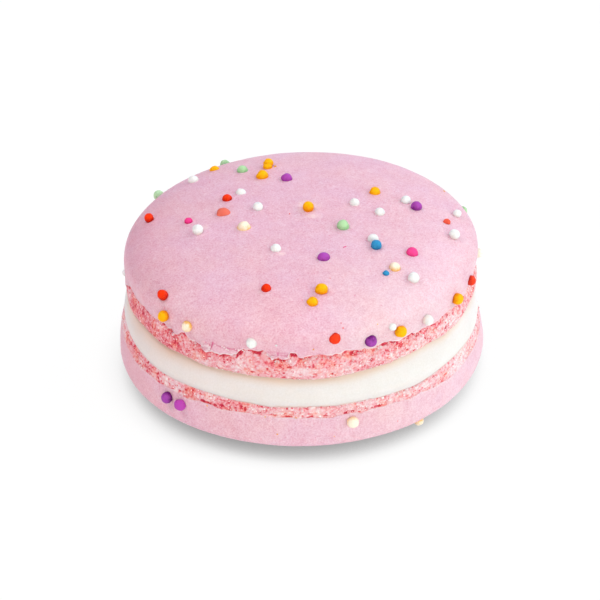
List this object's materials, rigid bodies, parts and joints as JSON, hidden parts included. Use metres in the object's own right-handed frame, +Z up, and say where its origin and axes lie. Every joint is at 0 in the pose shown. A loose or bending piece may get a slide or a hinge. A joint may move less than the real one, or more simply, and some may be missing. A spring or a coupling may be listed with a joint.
{
  "type": "french macaron",
  "caption": "Round sandwich biscuit of two smooth pink meringue shells with crumbly ruffled feet, a thick ivory cream layer between them and small coloured sugar balls.",
  "frame": {"origin": "centre of the small flat spot on the underside that the macaron rests on", "axes": "+Z up through the lower shell, cream and upper shell; +X to the right of the shown side, which faces -Y"},
  "size_m": [0.0461, 0.046, 0.0212],
  "materials": {
    "pink_shell": "matt baked almond meringue, finely mottled, with a rough crumbly foot",
    "cream_filling": "soft satin buttercream",
    "sprinkle_orange": "satin sugar",
    "sprinkle_red": "satin sugar",
    "sprinkle_magenta": "satin sugar",
    "sprinkle_purple": "satin sugar",
    "sprinkle_green": "satin sugar",
    "sprinkle_blue": "satin sugar",
    "sprinkle_white": "satin sugar",
    "sprinkle_cream": "satin sugar"
  },
  "bodies": {
    "root": {"bottom_shell": "pink_shell", "filling": "cream_filling", "top_shell": "pink_shell"}
  },
  "joints": []
}
